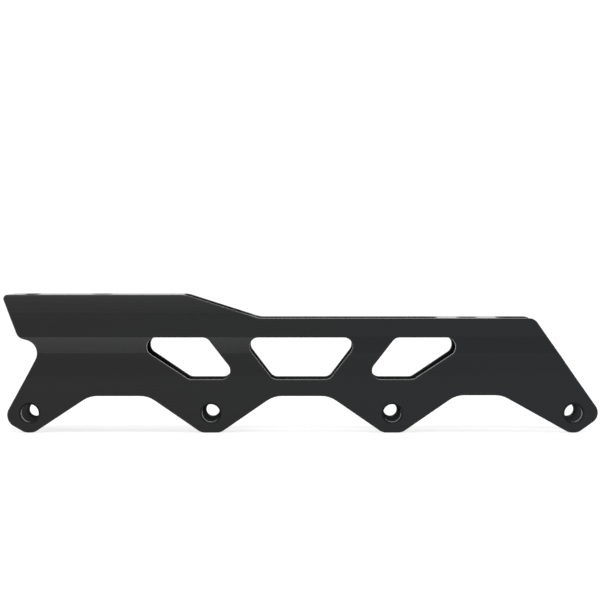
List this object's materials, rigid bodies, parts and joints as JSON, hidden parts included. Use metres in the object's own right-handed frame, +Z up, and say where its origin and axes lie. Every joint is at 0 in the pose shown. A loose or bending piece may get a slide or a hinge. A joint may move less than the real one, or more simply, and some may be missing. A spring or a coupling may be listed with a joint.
{
  "type": "inline skate frame",
  "caption": "Inline skate frame: a milled, extruded channel with a raised heel deck, a toe deck, truss windows in its walls and bushes at its ears that hold the wheel axles under a boot.",
  "frame": {"origin": "midway between the end axles and between the walls, on the ground under the ears", "axes": "+X runs from heel to toe, +Y to the skate's left, +Z up"},
  "size_m": [0.2653, 0.0392, 0.0617],
  "materials": {
    "frame": "black anodised, satin",
    "bush": "black anodised, turned"
  },
  "bodies": {
    "root": {"frame_body": "frame", "right_axle_bush_1": "bush", "right_axle_bush_2": "bush", "right_axle_bush_3": "bush", "right_axle_bush_4": "bush", "left_axle_bush_1": "bush", "left_axle_bush_2": "bush", "left_axle_bush_3": "bush", "left_axle_bush_4": "bush"}
  },
  "joints": []
}
